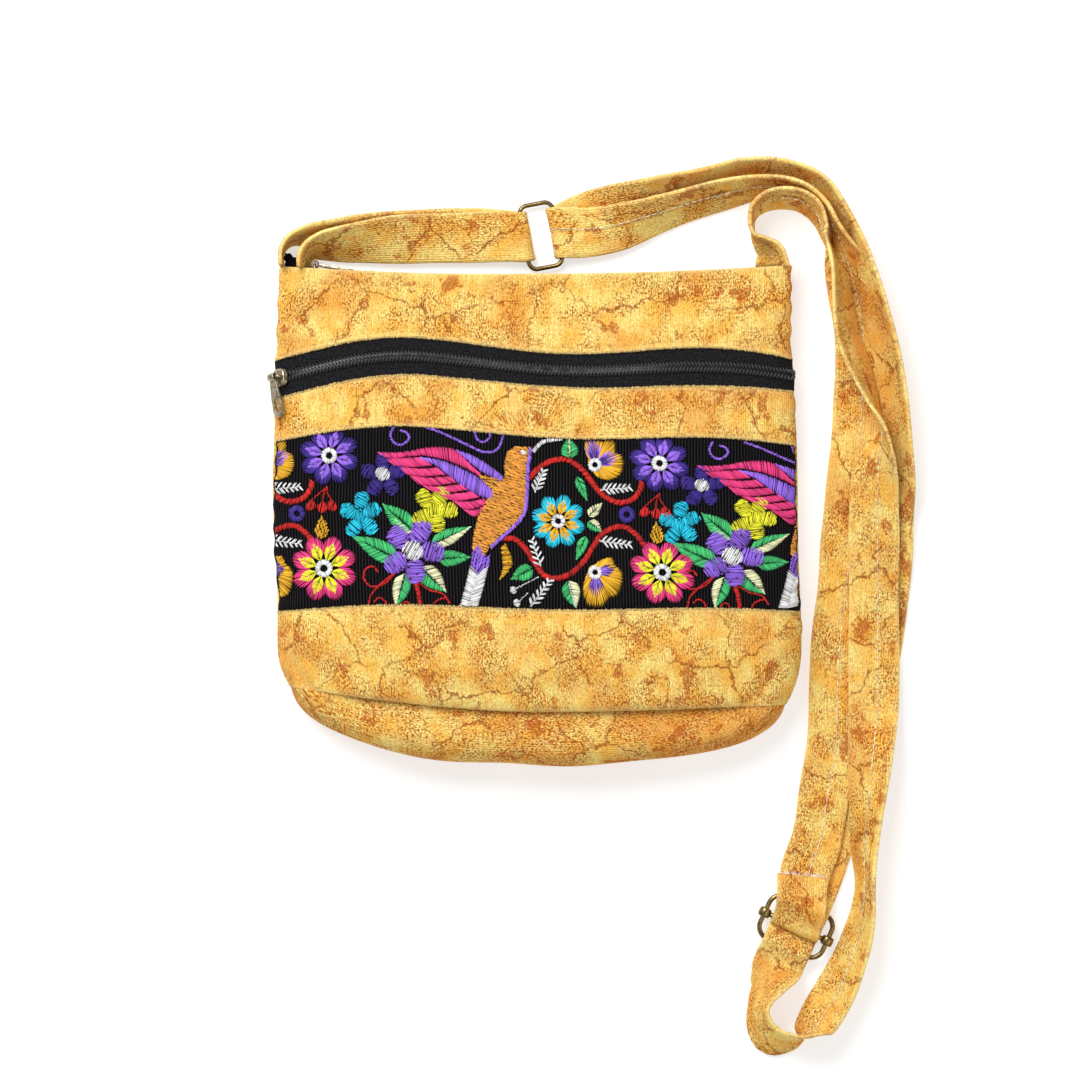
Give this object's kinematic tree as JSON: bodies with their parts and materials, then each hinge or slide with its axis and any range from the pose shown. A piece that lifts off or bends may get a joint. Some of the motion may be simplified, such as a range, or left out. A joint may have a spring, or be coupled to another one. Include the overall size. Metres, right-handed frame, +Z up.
{
  "type": "embroidered crossbody bag",
  "caption": "Soft zipped crossbody bag in printed cloth with a black embroidered band, lying on its back with its long adjustable shoulder strap laid beside it.",
  "frame": {"origin": "middle of the back panel, on the surface that the bag lies on", "axes": "+X to the bag's right seen from its front, +Y from the base to the mouth, +Z up, out of the front"},
  "size_m": [0.3129, 0.4305, 0.0409],
  "materials": {
    "printed_cloth": "matt ribbed suede cloth, golden print with rust speckle and veins",
    "black_cloth": "matt black ribbed cotton with coloured thread embroidery",
    "zip_tape": "black woven zip tape",
    "zip_coil": "black nylon coil, slight sheen",
    "zip_metal": "grey nickel, lightly worn",
    "strap_metal": "dark antique brass, rubbed on its high places"
  },
  "bodies": {
    "bag": {"back_panel": "printed_cloth", "front_top_panel": "printed_cloth", "front_middle_panel": "printed_cloth", "front_lower_panel": "printed_cloth", "base_back_panel": "printed_cloth", "base_front_panel": "printed_cloth", "embroidered_band": "black_cloth", "front_zip_tape_upper": "zip_tape", "front_zip_tape_lower": "zip_tape", "front_zip_coil": "zip_coil", "front_zip_slider": "zip_metal", "top_zip_tape_front": "zip_tape", "top_zip_tape_back": "zip_tape", "top_zip_coil": "zip_coil", "top_zip_slider": "zip_metal", "ring_strap": "printed_cloth", "shoulder_strap": "printed_cloth", "strap_ring": "strap_metal", "slide_frame": "strap_metal", "slide_bar": "strap_metal"},
    "front_pull": {"front_zip_pull": "zip_metal"},
    "top_pull": {"top_zip_pull": "zip_metal"}
  },
  "joints": [
    {"name": "front_pull_swing", "type": "hinge", "parent": "bag", "child": "front_pull", "pos_m": [-0.12731, 0.06606, 0.02127], "axis": [-0.7308, -0.1931, -0.6546], "range_deg": [0, 150]},
    {"name": "top_pull_swing", "type": "hinge", "parent": "bag", "child": "top_pull", "pos_m": [-0.1073, 0.12057, 0.01014], "axis": [0, 0, 1], "range_deg": [0, 18]}
  ]
}
